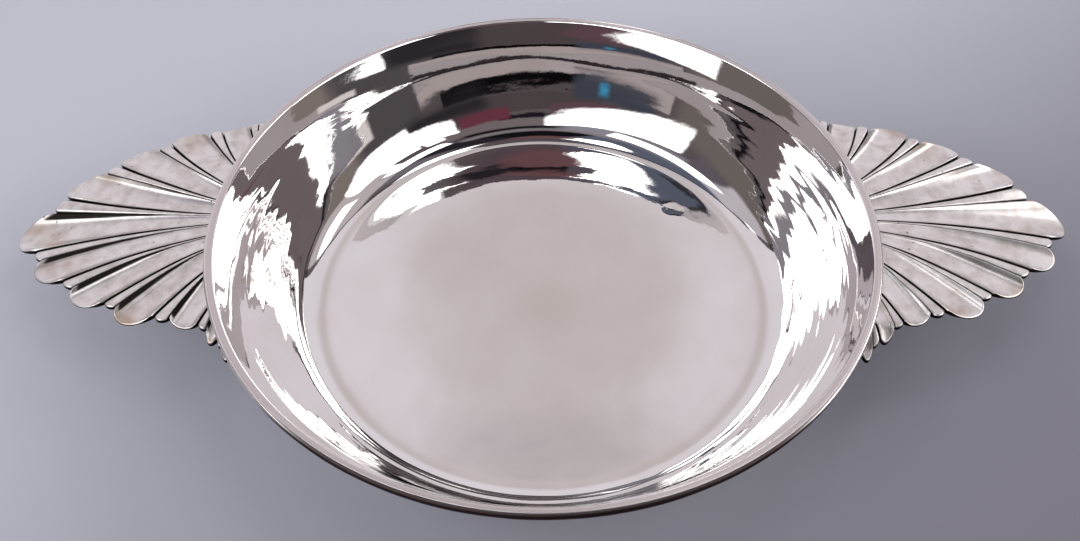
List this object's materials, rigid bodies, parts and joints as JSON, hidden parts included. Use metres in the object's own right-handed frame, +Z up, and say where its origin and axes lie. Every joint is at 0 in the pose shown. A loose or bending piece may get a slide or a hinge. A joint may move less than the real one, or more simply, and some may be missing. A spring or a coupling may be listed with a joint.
{
  "type": "two-handled porringer",
  "caption": "Shallow round silver porringer: a hammered bowl with a sloping wall and half-round rim band, and a cast palmette handle on each side.",
  "frame": {"origin": "on the table, in the middle of the object's box, which is the middle of the bowl", "axes": "+X runs from the middle of the bowl towards the right handle, +Z up out of the bowl's mouth, +Y away from the side that the picture is taken from"},
  "size_m": [0.2474, 0.15, 0.03],
  "materials": {
    "bowl_silver": "polished over faint hammer marks",
    "band_silver": "polished",
    "handle_silver": "satin, with dark tarnish in the grooves"
  },
  "bodies": {
    "root": {"bowl": "bowl_silver", "rim_band": "band_silver", "handle_left": "handle_silver", "handle_right": "handle_silver"}
  },
  "joints": []
}
